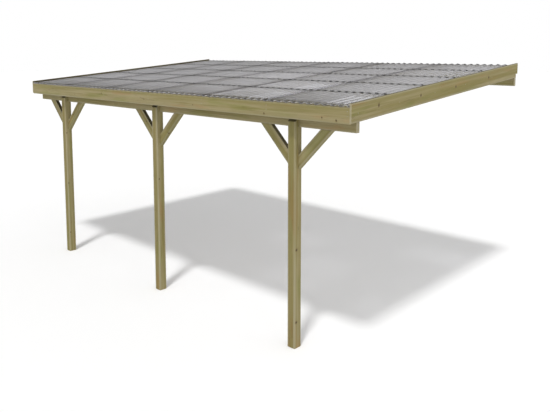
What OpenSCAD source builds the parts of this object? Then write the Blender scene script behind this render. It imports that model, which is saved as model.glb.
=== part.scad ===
// Wall-mounted carport: three timber posts with knee braces carry a single-pitch roof of corrugated
// sheets, whose rafters rest on a front beam and on a beam bolted to the wall.
// Origin: middle of the wall beam's back face. +X runs along the front, +Y points into the wall, +Z is up.

/* [Overall] */
// Width of the roof over the outer faces of the side boards
roof_w = 5572; // [4640:1:6690]
// Projection of the roof from the wall to the face of the front board
roof_d = 3272; // [2720:1:3930]
// Height from the ground to the underside of the front beam
clearance_h = 2070; // [1720:1:2490]
// Slope of the roof in degrees, rising towards the wall
roof_pitch = 4.9; // [3:0.1:10]
// Clearance between the wall and the pieces that end at it
wall_gap = 3; // [1:1:20]

/* [Posts] */
// Side of the square posts
post_size = 90; // [75:1:120]
// Distance between the middles of neighbouring posts
post_spacing = 2070; // [1400:1:2300]
// Distance from the face of the front board back to the face of the posts
post_setback = 77; // [60:1:300]
// Distance from the front board's lower edge down to the top of a post's cheek
cheek_drop = 4; // [0:1:20]
// Chamfer along the top front edge of a post's cheek
cheek_chamfer = 30; // [5:1:35]

/* [Beams] */
// Thickness of the front beam and of the wall beam
beam_t = 45; // [36:1:60]
// Height of the front beam and of the wall beam
beam_h = 145; // [120:1:175]
// Distance from each end of the front beam to the side board
beam_end_gap = 19; // [0:1:60]

/* [Braces] */
// Thickness of a knee brace
brace_t = 45; // [36:1:60]
// Depth of a knee brace, square to its length
brace_h = 95; // [75:1:115]
// Distance that a knee brace reaches along the post and along the beam
brace_reach = 385; // [300:1:500]

/* [Rafters and battens] */
// Width of a rafter
rafter_w = 45; // [36:1:60]
// Depth of a rafter, square to the slope
rafter_h = 70; // [58:1:95]
// Number of rafters
rafter_count = 7; // [3:1:9]
// Depth of the level seat cut where a rafter rests on a beam, at the beam's middle
seat_depth = 4; // [3:1:12]
// Width of a batten, along the slope
batten_w = 45; // [30:1:70]
// Thickness of a batten
batten_t = 25; // [18:1:40]
// Number of battens
batten_count = 6; // [3:1:8]
// Clearance between the front board and the first batten
batten_gap = 5; // [1:1:40]

/* [Boards] */
// Thickness of the front board and of the side boards
board_t = 20; // [16:1:28]
// Height of the front board
front_board_h = 140; // [110:1:170]
// Depth of a side board, square to the slope
side_board_h = 165; // [137:1:200]
// Height of a side board's top edge above the underside of the sheets
side_board_rise = 32; // [20:1:60]

/* [Roof sheets] */
// Thickness of a sheet
sheet_t = 1.2; // [0.8:0.1:3]
// Height of the corrugation from trough to crest
wave_h = 13; // [8:1:25]
// Number of waves across one sheet
sheet_waves = 11.5; // [9.5:0.5:13.5]
// Number of waves by which neighbouring sheets overlap
lap_waves = 1; // [1:1:2]
// Number of sheets across the roof
sheet_count = 6; // [4:1:8]
// Overhang of the sheets past the face of the front board
sheet_overhang = 5; // [0:1:40]
// Clearance at each outer edge of the sheets and between lapped sheets
sheet_gap = 0.2; // [0.1:0.1:1]

/* [Hidden] */
POSTS = ["left", "middle", "right"];
SIDES = ["left", "right"];

TIMBER = [0.55, 0.50, 0.33];
BOARD = [0.53, 0.47, 0.27];
SMOKED = [0.58, 0.59, 0.60, 0.8];
// Straight pieces that approximate one wave of a sheet
WAVE_STEPS = 12;

// Plan: distances across the roof, and depths measured from the wall
inner_w = roof_w - 2 * board_t;
front_y = -roof_d;
post_y = front_y + post_setback;
front_beam_y = post_y + post_size - beam_t;
rear_y = -wall_gap;
rafter_front_y = front_y + board_t;
rafter_spacing = (inner_w - rafter_w) / (rafter_count - 1);
first_batten_y = rafter_front_y + batten_gap;
batten_spacing = (rear_y - batten_w * cos(roof_pitch) - first_batten_y) / (batten_count - 1);

// Heights above the ground. The rafters' underside meets the front beam's middle at seat_depth.
front_beam_top = clearance_h + beam_h;
front_seat_y = front_beam_y + beam_t / 2;
rafter_stack = (rafter_h + batten_t) / cos(roof_pitch);
function slope_rise(y) = (y - front_seat_y) * tan(roof_pitch);
function rafter_bottom(y) = front_beam_top - seat_depth + slope_rise(y);
function rafter_top(y) = rafter_bottom(y) + rafter_h / cos(roof_pitch);
function sheet_bottom(y) = rafter_bottom(y) + rafter_stack;
function side_top(y) = sheet_bottom(y) + side_board_rise;
function side_bottom(y) = side_top(y) - side_board_h / cos(roof_pitch);
wall_beam_top = rafter_bottom(-beam_t / 2) + seat_depth;
front_board_bottom = sheet_bottom(front_y) - front_board_h;
cheek_top = front_board_bottom - cheek_drop;
wall_face_h = wall_beam_top - beam_h / 2;

// Corrugation
total_waves = sheet_count * (sheet_waves - lap_waves) + lap_waves;
wave_pitch = (inner_w - 2 * sheet_gap) / total_waves;
sheet_step = (sheet_waves - lap_waves) * wave_pitch;

function post_x(p) = (p - 1) * post_spacing;

// Everything below is drawn from the ground up, then lowered so that the wall face holds the origin
module from_wall_face() {
    translate([0, 0, -wall_face_h]) children();
}

// Prism with its outline in the Y-Z plane, from x to x + width
module side_profile(x, width, outline) {
    translate([x, 0, 0]) rotate([90, 0, 90]) linear_extrude(width) polygon(outline);
}

// Prism with its outline in the X-Z plane, from y to y + depth
module front_profile(y, depth, outline) {
    translate([0, y + depth, 0]) rotate([90, 0, 0]) linear_extrude(depth) polygon(outline);
}

// Places something drawn flat, with its Z square to the slope, on the plane under the sheets
module on_slope(y) {
    translate([0, y, sheet_bottom(y)]) rotate([roof_pitch, 0, 0]) children();
}

module front_beam_body() {
    length = inner_w - 2 * beam_end_gap;
    translate([-length / 2, front_beam_y, clearance_h]) cube([length, beam_t, beam_h]);
}

module wall_beam_body() {
    translate([-inner_w / 2, -beam_t, wall_beam_top - beam_h]) cube([inner_w, beam_t, beam_h]);
}

// Square post, halved at the back of its head so that the front beam sits flush in it. The cheek left in
// front of the beam ends below the front board, with a chamfer.
module post(p) {
    color(TIMBER) from_wall_face() {
        side_profile(post_x(p) - post_size / 2, post_size, [
            [post_y, 0],
            [post_y + post_size, 0],
            [post_y + post_size, clearance_h],
            [front_beam_y, clearance_h],
            [front_beam_y, cheek_top],
            [post_y + cheek_chamfer, cheek_top],
            [post_y, cheek_top - cheek_chamfer]
        ]);
    }
}

// Knee brace at 45 degrees between a post's side and the underside of the front beam.
// side is -1 for the brace on the post's left and 1 for the one on its right.
module brace(p, side) {
    foot = brace_h * sqrt(2);
    outline = [
        [0, clearance_h - brace_reach],
        [brace_reach, clearance_h],
        [brace_reach - foot, clearance_h],
        [0, clearance_h - brace_reach + foot]
    ];
    color(TIMBER) from_wall_face() {
        translate([post_x(p) + side * post_size / 2, 0, 0])
            front_profile(
                post_y + post_size - brace_t, brace_t,
                [for (point = outline) [side * point[0], point[1]]]
            );
    }
}

module front_beam() {
    color(TIMBER) from_wall_face() front_beam_body();
}

module wall_beam() {
    color(TIMBER) from_wall_face() wall_beam_body();
}

// Rafter with plumb ends and a level seat over each beam
module rafter(i) {
    x = -inner_w / 2 + (i - 1) * rafter_spacing;
    color(TIMBER) from_wall_face() {
        difference() {
            side_profile(x, rafter_w, [
                [rafter_front_y, rafter_bottom(rafter_front_y)],
                [rear_y, rafter_bottom(rear_y)],
                [rear_y, rafter_top(rear_y)],
                [rafter_front_y, rafter_top(rafter_front_y)]
            ]);
            translate([x - rafter_w, front_beam_y, clearance_h]) cube([3 * rafter_w, beam_t, beam_h]);
            translate([x - rafter_w, -beam_t, wall_beam_top - beam_h]) cube([3 * rafter_w, beam_t, beam_h]);
        }
    }
}

module batten(i) {
    color(TIMBER) from_wall_face() on_slope(first_batten_y + (i - 1) * batten_spacing)
        translate([-inner_w / 2, 0, -batten_t]) cube([inner_w, batten_w, batten_t]);
}

// Upright board across the rafters' front ends, just under the sheets
module front_board() {
    color(BOARD) from_wall_face()
        translate([-inner_w / 2, front_y, front_board_bottom]) cube([inner_w, board_t, front_board_h]);
}

// Board up the slope on the outer face of an end rafter, stopped over the wall beam's level at the wall.
// side is -1 for the left one and 1 for the right one.
module side_board(side) {
    x = side > 0 ? inner_w / 2 : -roof_w / 2;
    color(BOARD) from_wall_face()
        side_profile(x, board_t, [
            [front_y, side_bottom(front_y)],
            [-beam_t, side_bottom(-beam_t)],
            [-beam_t, wall_beam_top],
            [rear_y, wall_beam_top],
            [rear_y, side_top(rear_y)],
            [front_y, side_top(front_y)]
        ]);
}

// Corrugated sheet running up the slope. Every other sheet lies on its neighbours' edge waves, and all
// of them keep in step with the waves of the first, which begins in a trough.
module roof_sheet(i) {
    steps = round(sheet_waves * WAVE_STEPS);
    waves_before = (i - 1) * (sheet_waves - lap_waves);
    lift = (i % 2 == 0) ? sheet_t + sheet_gap : 0;
    sheet_front_y = front_y - sheet_overhang;
    length = (rear_y - sheet_front_y) / cos(roof_pitch);
    function wave(k) = [
        k * wave_pitch / WAVE_STEPS,
        wave_h / 2 * (1 - cos(360 * (waves_before + k / WAVE_STEPS)))
    ];
    outline = concat(
        [for (k = [0:steps]) wave(k)],
        [for (k = [steps:-1:0]) wave(k) + [0, sheet_t]]
    );
    color(SMOKED) from_wall_face() on_slope(sheet_front_y)
        translate([-inner_w / 2 + sheet_gap + (i - 1) * sheet_step, 0, lift])
            front_profile(0, length, outline);
}

for (p = [0:2]) {
    post(p);
    for (s = [0:1])
        brace(p, 2 * s - 1);
}
front_beam();
wall_beam();
front_board();
for (s = [0:1])
    side_board(2 * s - 1);
for (i = [1:rafter_count])
    rafter(i);
for (i = [1:batten_count])
    batten(i);
for (i = [1:sheet_count])
    roof_sheet(i);
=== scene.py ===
import math
import random

import bpy
from mathutils import Euler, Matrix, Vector


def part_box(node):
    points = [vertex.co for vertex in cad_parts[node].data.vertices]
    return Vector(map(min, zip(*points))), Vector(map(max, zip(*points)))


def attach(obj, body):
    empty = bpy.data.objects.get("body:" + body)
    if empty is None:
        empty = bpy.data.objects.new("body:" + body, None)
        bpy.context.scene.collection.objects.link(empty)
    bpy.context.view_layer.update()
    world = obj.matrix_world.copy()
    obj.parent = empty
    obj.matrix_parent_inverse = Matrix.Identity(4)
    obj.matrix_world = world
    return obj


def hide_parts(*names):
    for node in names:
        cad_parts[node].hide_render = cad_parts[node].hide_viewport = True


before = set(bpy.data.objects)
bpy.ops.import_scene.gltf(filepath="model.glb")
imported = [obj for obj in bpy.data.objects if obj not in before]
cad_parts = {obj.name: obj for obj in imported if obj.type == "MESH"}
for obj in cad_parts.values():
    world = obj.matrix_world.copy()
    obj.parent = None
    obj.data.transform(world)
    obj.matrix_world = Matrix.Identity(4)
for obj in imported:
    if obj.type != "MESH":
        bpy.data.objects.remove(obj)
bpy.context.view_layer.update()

# ---------------------------------------------------------------- the carport's own measures, in metres

PLACES = ["left", "middle", "right"]
SIDES = {"left": -1, "right": 1}
POSTS = ["post_" + place for place in PLACES]
BRACES = {side: [f"brace_{place}_post_{name}" for place in PLACES] for name, side in SIDES.items()}
RAFTERS = [n for n in sorted(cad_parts) if n.startswith("rafter_")]
BATTENS = [n for n in sorted(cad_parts) if n.startswith("batten_")]
SHEETS = [n for n in sorted(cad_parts) if n.startswith("roof_sheet_")]

ARRIS = 0.004          # rounding of a planed timber's long edges
POST_ARRIS = 0.0065
RAFTER_ARRIS = 0.003
BATTEN_ARRIS = 0.002
BOARD_ARRIS = 0.0025
SAWN = 0.0007          # the tiny chamfer that sanding leaves on a sawn end
CHEEK_CHAMFER = 0.030  # along the top front edge of a post's cheek
BRACE_DEPTH = 0.095    # of a knee brace, square to its length
BATTEN_THICKNESS = 0.025
WAVES = 11.5           # waves across one sheet
WAVE_STEPS = 16        # straight steps in one wave
WAVE_HEIGHT = 0.013
SHEET_THICKNESS = 0.0009
SHEET_ROWS = 12        # rows of faces along a sheet
FOAM_EDGE = 0.006      # height of a wave where its foam block ends

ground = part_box("post_left")[0].z
first_batten, last_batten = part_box(BATTENS[0])[0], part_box(BATTENS[-1])[0]
slope = math.atan2(last_batten.z - first_batten.z, last_batten.y - first_batten.y)

sheets_left, sheets_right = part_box(SHEETS[0])[0].x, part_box(SHEETS[-1])[1].x
sheet_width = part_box(SHEETS[0])[1].x - sheets_left
sheet_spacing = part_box(SHEETS[1])[0].x - sheets_left
wave_pitch = sheet_width / WAVES

# ---------------------------------------------------------------- modelling helpers


def deselect():
    bpy.ops.object.select_all(action="DESELECT")


def choose(*objects):
    """Selects these objects only, the last one active."""
    deselect()
    for obj in objects:
        obj.select_set(True)
    bpy.context.view_layer.objects.active = objects[-1]


def discard(obj):
    choose(obj)
    bpy.ops.object.delete()


def settle(obj):
    """Moves the object's place, turn and size into its mesh."""
    choose(obj)
    bpy.ops.object.transform_apply(location=True, rotation=True, scale=True)
    return obj


def block(name, low, high):
    """A box primitive between two corners."""
    deselect()
    low, high = Vector(low), Vector(high)
    bpy.ops.mesh.primitive_cube_add(size=1, location=(low + high) / 2)
    obj = bpy.context.object
    obj.name = obj.data.name = name
    obj.scale = high - low
    return settle(obj)


def edit(obj, kind, test):
    """Enters edit mode with only the faces, edges or vertices that pass the test selected."""
    choose(obj)
    bpy.ops.object.mode_set(mode="EDIT")
    bpy.ops.mesh.select_mode(type=kind)
    bpy.ops.mesh.select_all(action="DESELECT")
    bpy.ops.object.mode_set(mode="OBJECT")
    items = {"FACE": obj.data.polygons, "EDGE": obj.data.edges, "VERT": obj.data.vertices}[kind]
    for item in items:
        item.select = test(item)
    bpy.ops.object.mode_set(mode="EDIT")


def leave_edit():
    bpy.ops.object.mode_set(mode="OBJECT")


def run_of(obj, edge):
    """The vector from one end of an edge to the other."""
    a, b = (obj.data.vertices[i].co for i in edge.vertices)
    return b - a


def ease(obj, grain, radius):
    """Rounds the long edges, which run along the grain, and just breaks the sawn ends' edges."""
    grain = Vector(grain).normalized()
    edit(obj, "EDGE", lambda e: abs(run_of(obj, e).normalized().dot(grain)) > 0.99)
    bpy.ops.mesh.bevel(offset=radius, segments=3, affect="EDGES")
    leave_edit()
    finish_with(obj, "BEVEL", width=SAWN, segments=1, limit_method="ANGLE", angle_limit=math.radians(60))


def finish_with(obj, kind, **settings):
    """Adds a modifier and applies it."""
    choose(obj)
    bpy.ops.object.modifier_add(type=kind)
    modifier = obj.modifiers[-1]
    for key, value in settings.items():
        setattr(modifier, key, value)
    bpy.ops.object.modifier_apply(modifier=modifier.name)


def lay_on_slope(piece, place):
    """Turns a level piece about the row's X axis to the roof's slope and moves it to its place."""
    piece.rotation_euler.x = slope
    piece.location = place
    return settle(piece)


def repeat(names, shape, *settings):
    """Shapes the first of these like pieces and copies it for the others. Each copy has its own mesh and
    lies where the frame has that piece."""
    first = shape(names[0], *settings)
    start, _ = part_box(names[0])
    pieces = [first]
    for name in names[1:]:
        choose(first)
        bpy.ops.object.duplicate()
        copy = bpy.context.object
        copy.name = copy.data.name = first.name.replace(names[0], name)
        copy.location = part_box(name)[0] - start
        pieces.append(settle(copy))
    return zip(names, pieces)


def chisel(obj, low, high):
    """Cuts a square notch out of a timber."""
    waste = block("waste", low, high)
    finish_with(obj, "BOOLEAN", operation="DIFFERENCE", solver="EXACT", object=waste)
    discard(waste)


def smooth(obj, degrees=35):
    choose(obj)
    bpy.ops.object.shade_smooth_by_angle(angle=math.radians(degrees))


def mark_faces(obj, name, amount):
    """Writes a number from 0 to 1 on every face, for the piece's material."""
    mark = obj.data.attributes.new(name, "FLOAT", "FACE")
    for face in obj.data.polygons:
        mark.data[face.index].value = min(1.0, max(0.0, amount(face)))


def fit_out(obj, material, slot, *replaced):
    """Gives a finished piece its material and its place on the frame. Its slot is not used."""
    obj.data.materials.clear()
    obj.data.materials.append(material)
    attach(obj, "root")
    if replaced:
        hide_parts(*replaced)
    return obj


# ---------------------------------------------------------------- shader helpers


class Value:
    """A socket in a material, or what an expression on sockets comes to."""

    def __init__(self, finish, socket):
        self.finish, self.socket = finish, socket

    def math(self, operation, *others):
        inputs = dict(enumerate([self, *others]))
        return self.finish.node("ShaderNodeMath", {"operation": operation}, inputs)

    def vector(self, operation, other, output=0):
        inputs = {0: self, (3 if operation == "SCALE" else 1): other}
        return self.finish.node("ShaderNodeVectorMath", {"operation": operation}, inputs, output)

    def length(self):
        return self.vector("LENGTH", (0.0, 0.0, 0.0), output=1)

    def __add__(self, other):
        return self.math("ADD", other)

    def __mul__(self, other):
        return self.math("MULTIPLY", other)

    def __sub__(self, other):
        return self.math("SUBTRACT", other)

    def __rsub__(self, other):
        return (self * -1).math("ADD", other)

    def __truediv__(self, other):
        return self.math("DIVIDE", other)

    def __pow__(self, other):
        return self.math("POWER", other)

    def __abs__(self):
        return self.math("ABSOLUTE")

    __radd__ = __add__
    __rmul__ = __mul__

    def rise(self, low, high):
        """0 below low and 1 above high, with a smooth change between; low may be the greater one."""
        rising = float(low < high)
        settings = {"interpolation_type": "SMOOTHSTEP", "clamp": True}
        inputs = {0: self, 1: min(low, high), 2: max(low, high), 3: 1.0 - rising, 4: rising}
        return self.finish.node("ShaderNodeMapRange", settings, inputs)


class Finish:
    """The nodes of a material or a world."""

    def __init__(self, owner):
        self.owner = owner
        owner.use_nodes = True
        self.tree = owner.node_tree
        self.tree.nodes.clear()

    def node(self, kind, settings=None, inputs=None, output=0):
        """Adds a node: its settings first, then the values or links of its sockets, by name or number."""
        made = self.tree.nodes.new(kind)
        for key, value in (settings or {}).items():
            setattr(made, key, value)
        for key, value in (inputs or {}).items():
            if isinstance(value, Value):
                self.tree.links.new(value.socket, made.inputs[key])
            else:
                made.inputs[key].default_value = value
        return Value(self, made.outputs[output]) if len(made.outputs) else None

    def mix(self, factor, first, second):
        """Blends two colours, each a Value or three numbers."""
        a, b = (c if isinstance(c, Value) else (*c, 1.0) for c in (first, second))
        return self.node("ShaderNodeMix", {"data_type": "RGBA"}, {0: factor, 6: a, 7: b}, output=2)

    def tint(self, strength, colour, shade):
        """Multiplies a colour by a shade, as far as strength says."""
        settings = {"data_type": "RGBA", "blend_type": "MULTIPLY"}
        return self.node("ShaderNodeMix", settings, {0: strength, 6: colour, 7: (*shade, 1.0)}, output=2)

    def object_place(self, shift=(0, 0, 0), turn=(0, 0, 0)):
        """Object coordinates, turned and then shifted."""
        place = self.node("ShaderNodeTexCoord", output=3)
        return self.node("ShaderNodeMapping", None, {"Vector": place, "Location": shift, "Rotation": turn})

    def noise(self, place, stretch, detail=2.0, roughness=0.5, output=0):
        """Noise with so many cells a metre along each axis."""
        stretched = place.vector("MULTIPLY", stretch)
        inputs = {"Vector": stretched, "Scale": 1.0, "Detail": detail, "Roughness": roughness}
        return self.node("ShaderNodeTexNoise", {"noise_dimensions": "3D"}, inputs, output)

    def split(self, vector):
        parts = self.node("ShaderNodeSeparateXYZ", None, {0: vector})
        return [Value(self, out) for out in parts.socket.node.outputs]

    def surface(self, shader, output="ShaderNodeOutputMaterial"):
        """Ends the tree with this shader, and gives back the material or world."""
        self.node(output, None, {"Surface": shader})
        return self.owner


def new_finish(name):
    return Finish(bpy.data.materials.new(name))


# ---------------------------------------------------------------- materials

HEART = ((0.212, 0.190, 0.046), (0.268, 0.216, 0.070))     # round the core, olive to brown
SAP = ((0.262, 0.222, 0.076), (0.385, 0.326, 0.176))       # the pale wood round the heart
OUTER = ((0.226, 0.200, 0.060), (0.300, 0.254, 0.108))     # where the green treatment soaked in most
LATE_GROWTH = (0.66, 0.60, 0.48)    # shade of the dark part of each ring
# painted shade: near-black for faces that look up and for the side boards' inner faces, as the shade under
# the roof makes them look
SHADE_COLOUR = (0.048, 0.037, 0.013)       # on faces that look up
SAWN_END = (0.430, 0.385, 0.265)
# paler arrises: partly rubbing wear, partly a painted highlight
ARRIS_WEAR_AND_HIGHLIGHT = (0.392, 0.352, 0.228)
KNOT_CORE = (0.060, 0.036, 0.016)
KNOT_RIM = (0.170, 0.112, 0.045)
HEART_EDGE = (0.044, 0.026)    # distance from the core where the heart fades in
OUTER_EDGE = (0.058, 0.078)    # and where the outer wood does
RING_WIDTH = 0.0052
KNOT_LEAN = 0.22               # of a branch along the trunk, to 1 outwards


def knot_masks(place, knots):
    """How much of a knot's core, of its rim and of the swollen rings round it there is at a place."""
    core, rim, swell = None, None, None
    for along, angle, size in knots:
        branch = Vector((KNOT_LEAN, math.cos(angle), math.sin(angle))).normalized()
        from_root = place.vector("SUBTRACT", (along, 0.0, 0.0))
        reach = from_root.vector("DOT_PRODUCT", branch, output=1)
        away = from_root.vector("CROSS_PRODUCT", branch).length()
        ahead = reach.rise(0.0, 0.004)
        here = away.rise(size, size * 0.55) * ahead
        round_it = away.rise(size * 1.9, size * 0.9) * ahead
        push = away.rise(size * 4.5, 0.0) * ahead
        core = here if core is None else core.math("MAXIMUM", here)
        rim = round_it if rim is None else rim.math("MAXIMUM", round_it)
        swell = push if swell is None else swell.math("MAXIMUM", push)
    return core, rim, swell


def treated_pine(name, centre, half, turn, pith, knots, seed):
    """Pressure-treated pine, its grain along X once turned.
    centre and half are the timber's middle and half its section (across and up, once turned), pith is
    where the trunk's core runs through that section, and knots are (place along, angle, radius) round
    the core."""
    m = new_finish(name)
    middle = Euler(turn).to_matrix() @ Vector(centre)
    place = m.object_place(shift=-middle, turn=turn)
    _, across, up = m.split(place)
    place = place.vector("SUBTRACT", (0.0, *pith))

    # the trunk wanders a little, so the rings do too
    chance = (seed * 7.31, seed * 3.17, seed * 5.93)
    seeded = place.vector("ADD", chance)
    wander = m.noise(seeded, (0.8, 6.0, 6.0), detail=1.0, output=1)
    bent = place.vector("ADD", wander.vector("SUBTRACT", (0.5, 0.5, 0.5)).vector("SCALE", 0.020))
    flat = bent.vector("MULTIPLY", (0.0, 1.0, 1.0))
    radius = flat.length()
    core, rim, swell = knot_masks(place, knots)
    if knots:
        radius = radius + swell * 0.010

    # growth rings darken slowly, then end sharply
    unrest = m.noise(seeded, (1.6, 22.0, 22.0), detail=2.0)
    turns = (radius / RING_WIDTH) + unrest * 2.2
    ring = turns.math("FRACT") ** 2.6
    streak = m.noise(seeded, (0.55, 19.0, 19.0), detail=3.0, roughness=0.55).rise(0.34, 0.66)
    patch = m.noise(seeded, (1.1, 5.0, 5.0), detail=2.0).rise(0.35, 0.68)
    fibre = m.noise(seeded, (7.0, 330.0, 330.0), detail=2.0, roughness=0.6)
    edge = radius + (streak - 0.5) * 0.016
    heart = edge.rise(*HEART_EDGE)
    outer = edge.rise(*OUTER_EDGE)

    colour = m.mix(streak, *SAP)
    colour = m.mix(outer, colour, m.mix(streak, *OUTER))
    colour = m.mix(heart * (0.35 + 0.45 * streak), colour, m.mix(patch, *HEART))
    flush = m.noise(seeded, (1.7, 11.0, 11.0), detail=2.0)
    colour = m.tint(flush.rise(0.56, 0.70), colour, (1.04, 0.90, 0.84))
    colour = m.tint(flush.rise(0.47, 0.30), colour, (0.86, 0.93, 0.74))
    colour = m.tint(patch * 0.55, colour, (0.86, 0.87, 0.82))
    colour = m.tint(ring * 0.42, colour, LATE_GROWTH)
    colour = m.tint(fibre.rise(0.42, 0.72) * 0.5, colour, (0.80, 0.79, 0.74))

    # fine drying cracks, in places only
    crack_line = abs(m.noise(seeded, (1.3, 70.0, 70.0), detail=1.0) - 0.5).rise(0.012, 0.002)
    crack = crack_line * m.noise(seeded, (2.1, 9.0, 9.0), detail=1.0).rise(0.56, 0.66)
    colour = m.tint(crack * 0.8, colour, (0.34, 0.30, 0.24))

    # the planed arrises are painted paler: partly rubbing wear, partly a painted highlight along the
    # rounded edges
    side_gap = half[0] - abs(across)
    top_gap = half[1] - abs(up)
    arris = (side_gap.math("MAXIMUM", top_gap) + (streak - 0.5) * 0.008).rise(0.021, 0.006)
    colour = m.mix(arris * (0.38 + 0.36 * patch), colour, ARRIS_WEAR_AND_HIGHLIGHT)

    sawn_end = m.node("ShaderNodeAttribute", {"attribute_name": "sawn_end"}, output=2)
    colour = m.mix(sawn_end * (0.55 + 0.25 * streak), colour, SAWN_END)
    # painted shade: the marked faces that look up, and the named side, go near-black, standing in for the
    # shade under the roof and beams
    weathered = m.node("ShaderNodeAttribute", {"attribute_name": "weathered"}, output=2)
    colour = m.mix(weathered * (0.80 + 0.15 * patch), colour, SHADE_COLOUR)

    height = ring * 0.35 + fibre * 0.55 - crack * 1.6
    if knots:
        colour = m.mix(rim * 0.7, colour, KNOT_RIM)
        colour = m.mix(core * 0.92, colour, KNOT_CORE)
        height = height + rim * 0.5 - core * 0.4

    bump = m.node("ShaderNodeBump", None, {"Strength": 0.35, "Distance": 0.0010, "Height": height})
    rough = 0.62 + 0.22 * fibre - 0.10 * ring
    shader = m.node("ShaderNodeBsdfPrincipled", None, {
        "Base Color": colour, "Roughness": rough, "Normal": bump, "Specular IOR Level": 0.35})
    return m.surface(shader)


CLEAN_BAYS = [(4, 0), (4, 1), (3, 2), (5, 3)]   # counted from the left and from the front


def clean_share(m, place):
    """1 in the clean bays and on the last waves of the front right bay, less on the waves behind those."""
    corner = Vector((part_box(RAFTERS[0])[1].x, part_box(BATTENS[0])[1].y, 0.0))
    next_corner = Vector((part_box(RAFTERS[1])[1].x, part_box(BATTENS[1])[1].y, 1.0))
    bays = place.vector("SUBTRACT", corner).vector("DIVIDE", next_corner - corner)
    bay_x, bay_y, _ = m.split(bays.vector("FLOOR", (0.0, 0.0, 0.0)))
    x, _, _ = m.split(place)
    last_waves = x.rise(sheets_right - 0.36, sheets_right - 0.33)
    clean = last_waves * (0.45 + 0.55 * bay_y.math("COMPARE", 0, 0.5))
    for column, row in CLEAN_BAYS:
        clean = clean + bay_x.math("COMPARE", column, 0.5) * bay_y.math("COMPARE", row, 0.5)
    return clean


def smoked_sheet():
    """Smoke-grey corrugated plastic: mostly it scatters the light that falls through it, and a little of
    what is behind shows clearly. More shows in the bays listed as clean, and a painted highlight lies along
    one side of each crest. The laps let through nearly as much as a single sheet, so they don't stand out."""
    m = new_finish("smoked_sheet")
    place = m.object_place()
    haze = m.noise(place, (1.3, 0.5, 1.3), detail=2.0).rise(0.35, 0.65)
    dust = m.noise(place, (22.0, 1.6, 22.0), detail=2.0).rise(0.48, 0.74)
    x, _, _ = m.split(place)
    # the sheets scatter less towards the left end, so they read darker there
    left_darkening = x.rise(0.6, -2.6)
    clean = clean_share(m, place)
    from_left = x - sheets_left
    lap_share = (sheet_width - sheet_spacing) / sheet_spacing
    lapped = (from_left * (1 / sheet_spacing)).math("FRACT").rise(lap_share + 0.004, lap_share - 0.004)

    # painted highlight: along one side of each crest the sheet scatters more and lets more through, so it
    # reads brighter, most of all where it is clean
    phase = (from_left * (1 / wave_pitch)).math("FRACT")
    crest = phase.rise(0.46, 0.52) * phase.rise(0.80, 0.72)

    colour = m.mix(haze, (0.046, 0.047, 0.049), (0.060, 0.061, 0.063))
    colour = m.mix(dust * 0.25, colour, (0.20, 0.195, 0.185))
    gloss = m.node("ShaderNodeBsdfPrincipled", None, {
        "Base Color": colour, "Roughness": 0.14 + 0.12 * dust, "IOR": 1.36})
    scatter = m.node("ShaderNodeBsdfTranslucent", None, {"Color": (0.725, 0.720, 0.727, 1.0)})
    clear = m.node("ShaderNodeBsdfTransparent", None, {"Color": (0.96, 0.96, 0.98, 1.0)})
    scattering = 0.82 + 0.06 * crest - 0.03 * dust - 0.10 * left_darkening + 0.09 * lapped
    body = m.node("ShaderNodeMixShader", None, {0: scattering, 1: gloss, 2: scatter})
    glimpse = 0.08 + 0.08 * crest + clean * (0.44 * crest - 0.03) + 0.14 * lapped
    return m.surface(m.node("ShaderNodeMixShader", None, {0: glimpse, 1: body, 2: clear}))


def zinc_plate():
    """Galvanised steel of the screws, bolts and washers."""
    m = new_finish("zinc_plate")
    place = m.object_place()
    spangle = m.node("ShaderNodeTexVoronoi", {"feature": "F1"}, {"Vector": place, "Scale": 420.0}, output=1)
    grey, _, _ = m.split(spangle)
    grime = m.noise(place, (190.0, 190.0, 190.0), detail=3.0).rise(0.45, 0.75)
    colour = m.mix(grey * 0.5, (0.37, 0.35, 0.27), (0.47, 0.45, 0.37))
    colour = m.mix(grime * 0.6, colour, (0.20, 0.18, 0.12))
    rough = 0.34 + 0.12 * grey + 0.25 * grime
    bump = m.node("ShaderNodeBump", None, {"Strength": 0.15, "Distance": 0.0003, "Height": grime})
    shader = m.node("ShaderNodeBsdfPrincipled", None, {
        "Base Color": colour, "Roughness": rough, "Metallic": 0.85, "Normal": bump})
    return m.surface(shader)


def black_foam():
    """Closed-cell foam, near black: painted shade for the dark gap under each wave over a batten."""
    m = new_finish("black_foam")
    cells = m.node("ShaderNodeTexVoronoi", {"feature": "F1"}, {"Vector": m.object_place(), "Scale": 900.0})
    colour = m.mix(cells, (0.012, 0.012, 0.013), (0.030, 0.030, 0.029))
    bump = m.node("ShaderNodeBump", None, {"Strength": 0.4, "Distance": 0.0005, "Height": cells})
    shader = m.node("ShaderNodeBsdfPrincipled", None, {
        "Base Color": colour, "Roughness": 0.85 + 0.1 * cells, "Normal": bump})
    return m.surface(shader)


def sheet_cap():
    """Grey plastic of the caps that seal the roof screws."""
    m = new_finish("sheet_cap")
    place = m.object_place()
    mottle = m.noise(place, (220.0, 220.0, 220.0), detail=2.0)
    colour = m.mix(mottle.rise(0.4, 0.7), (0.22, 0.22, 0.223), (0.30, 0.30, 0.297))
    rough = 0.35 + 0.2 * mottle
    bump = m.node("ShaderNodeBump", None, {"Strength": 0.1, "Distance": 0.0004, "Height": mottle})
    shader = m.node("ShaderNodeBsdfPrincipled", None, {
        "Base Color": colour, "Roughness": rough, "Normal": bump})
    return m.surface(shader)


# ---------------------------------------------------------------- timber

# Turns that bring a timber's grain along X
GRAIN_UP = (0.0, math.radians(90), 0.0)
GRAIN_ACROSS = (0.0, 0.0, 0.0)
GRAIN_ALONG_BATTEN = (-slope, 0.0, 0.0)
GRAIN_UPHILL = (-slope, 0.0, math.radians(-90))
GRAIN_BRACE = {side: (0.0, side * math.radians(45), 0.0) for side in (1, -1)}


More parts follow.
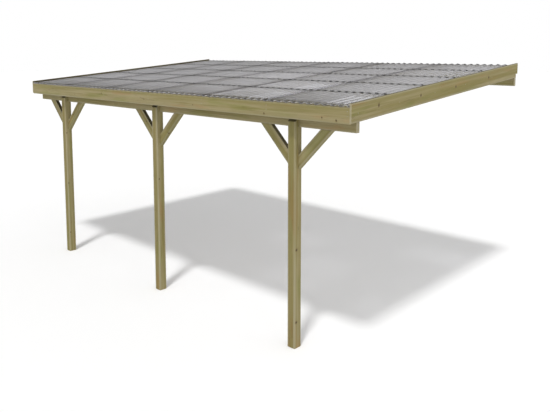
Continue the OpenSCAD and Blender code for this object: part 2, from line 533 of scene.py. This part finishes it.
def scattered_knots(seed, length, spacing):
    """Knots at chance places along a timber, in twos and threes round the core."""
    draw = random.Random(seed)
    knots, along = [], -length / 2 + draw.uniform(0.1, spacing)
    while along < length / 2 - 0.05:
        angle = draw.uniform(0, math.tau)
        for turn in range(draw.choice([1, 2, 2])):
            size = draw.uniform(0.0045, 0.0095)
            place = along + draw.uniform(-0.03, 0.03)
            knots.append((place, angle + turn * draw.uniform(1.6, 2.6), size))
        along += draw.uniform(0.75, 1.25) * spacing
    return knots


def section_half(low, high, turn):
    """Half the section of a timber that runs along a row axis, across and up once it is turned."""
    size = Euler(turn).to_matrix() @ (high - low)
    return abs(size.y) / 2, abs(size.z) / 2


def fit_timber(obj, name, slot, centre, half, turn, pith, knots, seed, sheltered_side=(0, 0, 0)):
    """Finishes a timber in pine. Except on the rafters and battens, which lie under the sheets, its faces
    that look up get painted shade, near-black like the shade under the roof, and so does one side if it is
    named."""
    grain = Euler(turn).to_matrix().inverted() @ Vector((1, 0, 0))
    shaded_normal = Vector(sheltered_side)
    gets_shade = 0 if slot in ("rafter_timber", "batten_timber") else 1
    mark_faces(obj, "weathered", lambda f: gets_shade * max(
        (f.normal.z - 0.3) / 0.3, f.normal.dot(shaded_normal) * 5 - 4))
    mark_faces(obj, "sawn_end", lambda f: (abs(f.normal.dot(grain)) - 0.9) * 20)
    wood = treated_pine("pine_" + name, centre, half, turn, pith, knots, seed)
    return fit_out(obj, wood, slot, name)


def straight_timber(name, slot, arris, pith, knots, seed):
    """A timber along the roof's width, made from its CAD box."""
    low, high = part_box(name)
    piece = block("timber_" + name, low, high)
    ease(piece, (1, 0, 0), arris)
    smooth(piece)
    half = section_half(low, high, GRAIN_ACROSS)
    return fit_timber(piece, name, slot, (low + high) / 2, half, GRAIN_ACROSS, pith, knots, seed)


def post_shape(name):
    """A square post, halved at the back of its head for the front beam."""
    low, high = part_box(name)
    beam_low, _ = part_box("front_beam")
    piece = block("timber_" + name, low, high)

    def on_top_front(index):
        corner = piece.data.vertices[index].co
        return abs(corner.y - low.y) + abs(corner.z - high.z) < 0.0001

    edit(piece, "EDGE", lambda e: all(on_top_front(i) for i in e.vertices))
    bpy.ops.mesh.bevel(offset=CHEEK_CHAMFER, segments=1, affect="EDGES")
    leave_edit()
    ease(piece, (0, 0, 1), POST_ARRIS)
    chisel(piece, (low.x - 0.01, beam_low.y, beam_low.z), (high.x + 0.01, high.y + 0.01, high.z + 0.01))
    smooth(piece)
    return piece


def finish_post(piece, name, knots, seed):
    low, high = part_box(name)
    fit_timber(piece, name, "post_timber", (low + high) / 2, section_half(low, high, GRAIN_UP), GRAIN_UP,
               (-0.028, 0.004), knots, seed)


def brace_measures(name, side):
    """A brace's box, its X at the post, its reach along post and beam, and the height of its plumb foot."""
    low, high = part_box(name)
    root = low.x if side > 0 else high.x
    return low, high, root, high.z - low.z, BRACE_DEPTH * math.sqrt(2)


def brace_shape(name, side):
    """A knee brace: a block on the post's side whose far end is swung up under the beam."""
    low, high, root, reach, foot = brace_measures(name, side)
    stub = root + side * 0.01
    piece = block(
        "timber_" + name, (min(root, stub), low.y, low.z), (max(root, stub), high.y, low.z + foot))
    edit(piece, "FACE", lambda f: f.normal.x * side > 0.9)
    bpy.ops.transform.translate(value=(side * (reach - foot / 2 - 0.01), 0, reach - foot / 2))
    leave_edit()
    edge = root + side * (reach - foot / 2)
    edit(piece, "VERT", lambda v: abs(v.co.x - edge) < 0.001 and v.co.z > high.z)
    bpy.ops.transform.translate(value=(-side * foot / 2, 0, -foot / 2))
    leave_edit()
    edit(piece, "VERT", lambda v: abs(v.co.x - edge) < 0.001)
    bpy.ops.transform.translate(value=(side * foot / 2, 0, foot / 2))
    leave_edit()
    ease(piece, (side, 0, 1), ARRIS)
    smooth(piece)
    return piece


def finish_brace(piece, name, side, seed):
    low, high, root, reach, foot = brace_measures(name, side)
    centre = Vector((
        root + side * (reach - foot / 2) / 2, (low.y + high.y) / 2, low.z + (reach + foot / 2) / 2))
    half = ((high.y - low.y) / 2, BRACE_DEPTH / 2)
    fit_timber(piece, name, "brace_timber", centre, half, GRAIN_BRACE[side], (0.016, 0.030),
               scattered_knots(seed, 0.5, 0.3), seed)


def uphill_depth(low, high):
    """The upright thickness of a timber that runs up the slope inside this box."""
    return high.z - low.z - (high.y - low.y) * math.tan(slope)


def uphill_block(name):
    """A block with plumb ends that runs up the slope inside the piece's box."""
    low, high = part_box(name)
    piece = block("timber_" + name, low, (high.x, high.y, low.z + uphill_depth(low, high)))
    edit(piece, "FACE", lambda f: f.normal.y > 0.9)
    bpy.ops.transform.translate(value=(0, 0, (high.y - low.y) * math.tan(slope)))
    leave_edit()
    return piece


def finish_uphill(piece, name, slot, pith, knots, seed, sheltered_side=(0, 0, 0)):
    low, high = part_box(name)
    half = ((high.x - low.x) / 2, uphill_depth(low, high) * math.cos(slope) / 2)
    fit_timber(piece, name, slot, (low + high) / 2, half, GRAIN_UPHILL, pith, knots, seed, sheltered_side)


def rafter_shape(name):
    """A rafter with a level seat over each beam."""
    low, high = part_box(name)
    piece = uphill_block(name)
    ease(piece, (0, math.cos(slope), math.sin(slope)), RAFTER_ARRIS)
    for beam in ("front_beam", "wall_beam"):
        beam_low, beam_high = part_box(beam)
        chisel(piece, (low.x - 0.01, beam_low.y, beam_low.z), (high.x + 0.01, beam_high.y, beam_high.z))
    smooth(piece)
    return piece


def side_board_shape(name):
    """A board up the roof's edge, notched over the end of the wall beam."""
    low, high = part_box(name)
    piece = uphill_block(name)
    ease(piece, (0, math.cos(slope), math.sin(slope)), BOARD_ARRIS)
    beam_low, beam_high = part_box("wall_beam")
    chisel(piece, (low.x - 0.01, beam_low.y, beam_low.z), (high.x + 0.01, 0.05, beam_high.z))
    smooth(piece)
    return piece


def batten_width(low, high):
    return (high.y - low.y - BATTEN_THICKNESS * math.sin(slope)) / math.cos(slope)


def batten_shape(name):
    """A batten across the rafters, lying with the slope."""
    low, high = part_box(name)
    piece = block(
        "timber_" + name, (low.x, 0, -BATTEN_THICKNESS), (high.x, batten_width(low, high), 0))
    ease(piece, (1, 0, 0), BATTEN_ARRIS)
    lay_on_slope(piece, (0, low.y, low.z + BATTEN_THICKNESS * math.cos(slope)))
    smooth(piece)
    return piece


def finish_batten(piece, name, seed):
    low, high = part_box(name)
    half = (batten_width(low, high) / 2, BATTEN_THICKNESS / 2)
    fit_timber(piece, name, "batten_timber", (low + high) / 2, half, GRAIN_ALONG_BATTEN, (0.020, 0.030),
               scattered_knots(seed, high.x - low.x, 0.9), seed)


# ---------------------------------------------------------------- roof sheets


def waves(name, left, right, length, rows):
    """A flat grid whose columns are lifted into the roof's waves. It runs from left to right, with its
    front edge on the X axis and its troughs at height 0."""
    step = wave_pitch / WAVE_STEPS
    columns_before = round((left - sheets_left) / step)
    columns = round((right - left) / step)
    deselect()
    bpy.ops.mesh.primitive_grid_add(
        x_subdivisions=columns, y_subdivisions=rows, size=1, location=(0.5, 0.5, 0))
    piece = bpy.context.object
    piece.name = piece.data.name = name
    settle(piece)
    piece.scale = (right - left, length, 1)
    settle(piece)
    for k in range(1, WAVE_STEPS):
        lift = WAVE_HEIGHT / 2 * (1 - math.cos(math.tau * k / WAVE_STEPS))
        edit(piece, "VERT", lambda v: (round(v.co.x / step) + columns_before) % WAVE_STEPS == k)
        bpy.ops.transform.translate(value=(0, 0, lift))
        leave_edit()
    return piece


def trough_height(y):
    """Height of the plane on which the sheets' troughs lie, which is the battens' upper face."""
    return first_batten.z + BATTEN_THICKNESS * math.cos(slope) + (y - first_batten.y) * math.tan(slope)


def sheet_shape(name):
    """A corrugated sheet, its troughs on the battens."""
    low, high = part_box(name)
    lean = WAVE_HEIGHT * math.sin(slope)
    length = (high.y - low.y - lean) / math.cos(slope)
    piece = waves("plastic_" + name, low.x, high.x, length, SHEET_ROWS)
    lay_on_slope(piece, (low.x, low.y + lean, low.z))
    finish_with(piece, "SOLIDIFY", thickness=SHEET_THICKNESS, offset=1)
    smooth(piece, 50)
    return piece


def foam_shape(under):
    """Dark foam between a batten and each wave of the sheets, so that no screw crushes a wave. Its
    near-black colour is painted shade for the gap under each wave.
    """
    low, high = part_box(under)
    front, back = low.y + 0.004, high.y - 0.003
    piece = waves("foam_on_" + under, sheets_left, sheets_right, (back - front) / math.cos(slope), 1)
    edit(piece, "VERT", lambda v: v.co.z < FOAM_EDGE)
    bpy.ops.mesh.delete(type="VERT")
    bpy.ops.mesh.select_all(action="SELECT")
    bpy.ops.mesh.extrude_region_move(TRANSFORM_OT_translate={"value": (0, 0, -WAVE_HEIGHT)})
    bpy.ops.transform.resize(value=(1, 1, 0), center_override=(0, 0, 0))
    bpy.ops.mesh.select_all(action="SELECT")
    bpy.ops.mesh.normals_make_consistent(inside=False)
    leave_edit()
    lay_on_slope(piece, (sheets_left, front, trough_height(front)))
    smooth(piece, 40)
    return piece


# ---------------------------------------------------------------- fixings


def eased_disc(name, radius, bottom, height, rim, sides):
    """A flat cylinder over the origin, its upper rim rounded."""
    deselect()
    bpy.ops.mesh.primitive_cylinder_add(
        vertices=sides, radius=radius, depth=height, location=(0, 0, bottom + height / 2))
    disc = bpy.context.object
    disc.name = disc.data.name = name
    settle(disc)
    edit(disc, "FACE", lambda f: f.normal.z > 0.9)
    bpy.ops.mesh.bevel(offset=rim, segments=2, affect="EDGES")
    leave_edit()
    return disc


def screw_head(name, radius, height, recess, sides=16):
    """A round head, facing up, with a hollow in the middle unless recess is 0."""
    head = eased_disc(name, radius, 0, height, height * 0.55, sides)
    if recess > 0:
        edit(head, "FACE", lambda f: f.normal.z > 0.9 and f.area > radius * radius * 0.3)
        bpy.ops.mesh.inset(thickness=radius - height * 0.55 - recess)
        bpy.ops.mesh.extrude_region_move(TRANSFORM_OT_translate={"value": (0, 0, -height * 0.5)})
        leave_edit()
    smooth(head, 40)
    return head


def hexagon_bolt(name):
    """A hexagon head on a broad washer, facing up at the origin."""
    thickness = 0.003
    washer = screw_head("washer", radius=0.018, height=thickness, recess=0, sides=24)
    head = eased_disc(name, radius=0.0098, bottom=thickness, height=0.0065, rim=0.0012, sides=6)
    choose(washer, head)
    bpy.ops.object.join()
    smooth(head, 30)
    return head


def spread(pattern, name, places, turn, material):
    """Copies a fixing to each place, turned the same way, and joins the copies into one piece."""
    copies = []
    for place in places:
        choose(pattern)
        bpy.ops.object.duplicate()
        copy = bpy.context.object
        copy.rotation_euler = turn
        copy.location = place
        copies.append(settle(copy))
    choose(*copies)
    bpy.ops.object.join()
    joined = bpy.context.object
    joined.name = joined.data.name = name
    return fit_out(joined, material, "fixings")


FACE_FRONT = (math.radians(90), 0, 0)
FACE_BACK = (math.radians(-90), 0, 0)
FACE_SIDE = {1: (0, math.radians(90), 0), -1: (0, math.radians(-90), 0)}


def board_screws(screw, zinc):
    """Two screws into each rafter's end through the front board, and a row up each side board."""
    board_low, board_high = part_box("front_board")
    places = []
    for name in RAFTERS:
        low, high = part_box(name)
        for drop in (0.035, 0.075):
            places.append(((low.x + high.x) / 2, board_low.y, board_high.z - drop))
    spread(screw, "front_board_screws", places, FACE_FRONT, zinc)

    rafter_low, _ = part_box(RAFTERS[0])
    middle_height = rafter_low.z + 0.037
    count, front_gap, rear_gap = 6, 0.09, 0.07
    for side_name, side in SIDES.items():
        low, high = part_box("side_board_" + side_name)
        face = high.x if side > 0 else low.x
        run = high.y - low.y - front_gap - rear_gap
        along = [low.y + front_gap + k * run / (count - 1) for k in range(count)]
        places = [(face, y, middle_height + (y - rafter_low.y) * math.tan(slope)) for y in along]
        spread(screw, "side_board_screws_" + side_name, places, FACE_SIDE[side], zinc)


def brace_screws(screw, zinc):
    """A screw through each end of every brace, square to its outer edge."""
    for side_name, side in SIDES.items():
        places = []
        for name in BRACES[side]:
            low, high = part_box(name)
            root = low.x if side > 0 else high.x
            for part in (0.16, 0.84):
                run = (high.z - low.z) * part
                places.append((root + side * run, (low.y + high.y) / 2, low.z + run))
        turn = (0, side * math.radians(135), 0)
        spread(screw, "brace_screws_" + side_name, places, turn, zinc)


def beam_bolts(bolt, zinc):
    """Two bolts through the front beam into each post's cheek from behind, and anchors in the wall beam."""
    beam_low, beam_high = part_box("front_beam")
    places = []
    for name in POSTS:
        low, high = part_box(name)
        middle = (low.x + high.x) / 2
        for sideways, rise in ((-0.02, 0.030), (0.02, 0.062)):
            places.append((middle + sideways, beam_high.y, beam_low.z + rise))
    spread(bolt, "post_bolts", places, FACE_BACK, zinc)

    low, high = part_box("wall_beam")
    count, end_gap = 7, 0.22
    step = (high.x - low.x - 2 * end_gap) / (count - 1)
    places = [(low.x + end_gap + k * step, low.y, (low.z + high.z) / 2) for k in range(count)]
    spread(bolt, "wall_anchor_bolts", places, FACE_FRONT, zinc)


def roof_screws(cap, cap_plastic):
    """A capped screw on every third crest of the sheets, over each batten."""
    waves_across = round((sheets_right - sheets_left) / wave_pitch)
    crests = [sheets_left + (k + 0.5) * wave_pitch for k in range(1, waves_across, 3)]
    for name in BATTENS:
        low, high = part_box(name)
        y = (low.y + high.y) / 2
        z = trough_height(y) + (WAVE_HEIGHT + SHEET_THICKNESS) / math.cos(slope)
        spread(cap, name + "_roof_screws", [(x, y, z) for x in crests], (slope, 0, 0), cap_plastic)


# ---------------------------------------------------------------- the carport

# Knots as (place along the timber from its middle, angle round the core, radius)
POST_KNOTS = {
    "post_left": [
        (0.56, -1.67, 0.0065), (-0.13, -1.63, 0.0070), (-0.82, -1.63, 0.0065), (-0.62, 0.5, 0.0085)],
    "post_middle": [(-0.50, 3.5, 0.0060), (-0.42, 0.3, 0.0065), (0.22, -1.51, 0.0070)],
    "post_right": [(-0.145, -1.45, 0.0115), (-0.835, -1.45, 0.0115)],
}
FRONT_BOARD_KNOTS = [
    (-2.31, 2.8, 0.0060), (-1.62, -2.8, 0.0050), (-0.98, 2.6, 0.0055), (-0.09, 3.07, 0.0060),
    (0.77, -2.9, 0.0045), (1.79, -2.53, 0.0065), (2.47, -2.74, 0.0060), (2.62, -2.47, 0.0070)]
SIDE_BOARD_KNOTS = {
    -1: scattered_knots(24, 3.2, 0.6),
    1: [(-1.26, 2.30, 0.0100), (-0.57, 2.48, 0.0100), (0.11, 2.60, 0.0105), (0.86, 2.48, 0.0105)],
}

for number, (name, piece) in enumerate(repeat(POSTS, post_shape)):
    finish_post(piece, name, POST_KNOTS[name], number + 1)
for side in SIDES.values():
    for number, (name, piece) in enumerate(repeat(BRACES[side], brace_shape, side)):
        finish_brace(piece, name, side, 10 + 2 * number + side)

# the front beam's pith sits so its front face shows mostly pale sapwood, a painted lightening of the face
# that the front board shades
straight_timber("front_beam", "beam_timber", ARRIS, (0.022, -0.032), scattered_knots(21, 5.4, 0.7), 21)
straight_timber("wall_beam", "beam_timber", ARRIS, (0.016, -0.030), scattered_knots(22, 5.4, 0.7), 22)
straight_timber("front_board", "board_timber", BOARD_ARRIS, (0.030, -0.015), FRONT_BOARD_KNOTS, 23)

side_boards = repeat(["side_board_" + side_name for side_name in SIDES], side_board_shape)
for number, (name, piece) in enumerate(side_boards):
    side = math.copysign(1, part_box(name)[0].x)
    # each side board's inner face gets painted shade, near-black like the shade under the roof
    finish_uphill(piece, name, "board_timber", (0.020, -0.020), SIDE_BOARD_KNOTS[side], 24 + number,
                  sheltered_side=(-side, 0, 0))
for number, (name, piece) in enumerate(repeat(RAFTERS, rafter_shape)):
    low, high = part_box(name)
    seed = 31 + number
    finish_uphill(piece, name, "rafter_timber", (0.012, -0.045),
                  scattered_knots(seed, high.y - low.y, 0.8), seed)
for number, (name, piece) in enumerate(repeat(BATTENS, batten_shape)):
    finish_batten(piece, name, 41 + number)

plastic = smoked_sheet()
for every_other in (SHEETS[0::2], SHEETS[1::2]):   # neighbours start half a wave apart
    for name, piece in repeat(every_other, sheet_shape):
        fit_out(piece, plastic, "roof_sheet", name)
foam = black_foam()
for name, piece in repeat(BATTENS[1:], foam_shape):
    fit_out(piece, foam, "fixings")

zinc = zinc_plate()
screw = screw_head("screw", radius=0.0042, height=0.0010, recess=0.0016)
board_screws(screw, zinc)
brace_screws(screw, zinc)
bolt = hexagon_bolt("bolt")
beam_bolts(bolt, zinc)
cap = screw_head("cap", radius=0.0085, height=0.0050, recess=0.0030)
roof_screws(cap, sheet_cap())
for pattern in (screw, bolt, cap):
    discard(pattern)

# ---------------------------------------------------------------- floor, light and camera


def backdrop_switch(m):
    """1 for what the camera sees, straight or through gloss and clear plastic, and 0 for lighting."""
    path = m.node("ShaderNodeLightPath").socket.node
    seen, glossy, through = (Value(m, path.outputs[key]) for key in
                             ("Is Camera Ray", "Is Glossy Ray", "Is Transmission Ray"))
    return seen.math("MAXIMUM", glossy).math("MAXIMUM", through)


def floor():
    deselect()
    bpy.ops.mesh.primitive_plane_add(size=160, location=(0, 0, ground - 0.001))
    plane = bpy.context.object
    plane.name = "floor"
    settle(plane)
    m = new_finish("pale_floor")
    colour = m.mix(backdrop_switch(m), (0.80, 0.80, 0.80), (1.0, 1.0, 1.0))
    shader = m.node("ShaderNodeBsdfPrincipled", None, {
        "Base Color": colour, "Roughness": 1.0, "Specular IOR Level": 0.0})
    plane.data.materials.append(m.surface(shader))


def studio_light():
    """Soft light from all round, stronger from the right and from low down, and a low-contrast sun."""
    m = Finish(bpy.data.worlds.new("studio"))
    from_right, _, from_above = m.split(m.node("ShaderNodeTexCoord"))
    strength = 0.80 + 0.30 * from_right - 0.32 * from_above
    soft = m.node("ShaderNodeBackground", None, {"Color": (1.0, 1.0, 1.0, 1.0), "Strength": strength})
    white = m.node("ShaderNodeBackground", None, {"Color": (1.0, 1.0, 1.0, 1.0), "Strength": 1.0})
    both = m.node("ShaderNodeMixShader", None, {0: backdrop_switch(m), 1: soft, 2: white})
    bpy.context.scene.world = m.surface(both, "ShaderNodeOutputWorld")

    bpy.ops.object.light_add(type="SUN", location=(3, -6, 8))
    key = bpy.context.object
    key.name = "key_light"
    key.data.energy = 1.55
    key.data.angle = math.radians(7)
    sun_height = math.radians(64)
    toward = Vector((-0.45, 0.89, -math.tan(sun_height)))
    key.rotation_euler = toward.to_track_quat("-Z", "Y").to_euler()


def camera():
    """Off the front right corner, a little above the roof, with the frame shifted down."""
    tilt_down, turn_left = math.radians(6.372), math.radians(43.39)
    bpy.ops.object.camera_add()
    view = bpy.context.object
    view.name = "view"
    view.location = (5.741, -7.293, ground + 2.741)
    view.rotation_euler = (math.radians(90) - tilt_down, 0, turn_left)
    view.data.lens = 40.55
    view.data.sensor_width = 36
    view.data.shift_y = -0.155
    view.data.clip_end = 400
    bpy.context.scene.camera = view


floor()
studio_light()
camera()
bpy.context.scene.view_settings.view_transform = "Standard"
